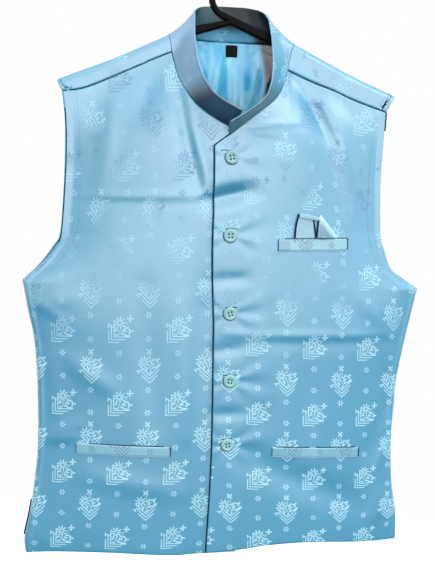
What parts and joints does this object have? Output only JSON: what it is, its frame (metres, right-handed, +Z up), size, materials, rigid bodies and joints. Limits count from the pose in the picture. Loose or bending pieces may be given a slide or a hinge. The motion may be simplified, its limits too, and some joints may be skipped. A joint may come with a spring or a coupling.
{
  "type": "waistcoat on a hanger",
  "caption": "Sleeveless band-collar waistcoat buttoned up the front, with welt pockets and a folded pocket square, hanging on a flat moulded hanger.",
  "frame": {"origin": "inner top of the hanger's hook, where a rail carries it", "axes": "+X to the wearer's left, +Y to the wearer's back, +Z up"},
  "size_m": [0.5375, 0.115, 0.8111],
  "materials": {
    "damask": "satin damask weave",
    "lining_satin": "smooth satin",
    "label_ribbon": "plain woven ribbon",
    "button_plastic": "satin gloss",
    "hanger_plastic": "semi-gloss moulded"
  },
  "bodies": {
    "root": {"front_right": "damask", "front_left": "damask", "back": "damask", "collar": "damask", "back_lining": "lining_satin", "neck_label": "label_ribbon", "welt_chest": "damask", "welt_hip_right": "damask", "welt_hip_left": "damask", "pocket_square": "damask", "button_1": "button_plastic", "button_2": "button_plastic", "button_3": "button_plastic", "button_4": "button_plastic", "button_5": "button_plastic", "hanger": "hanger_plastic"}
  },
  "joints": []
}
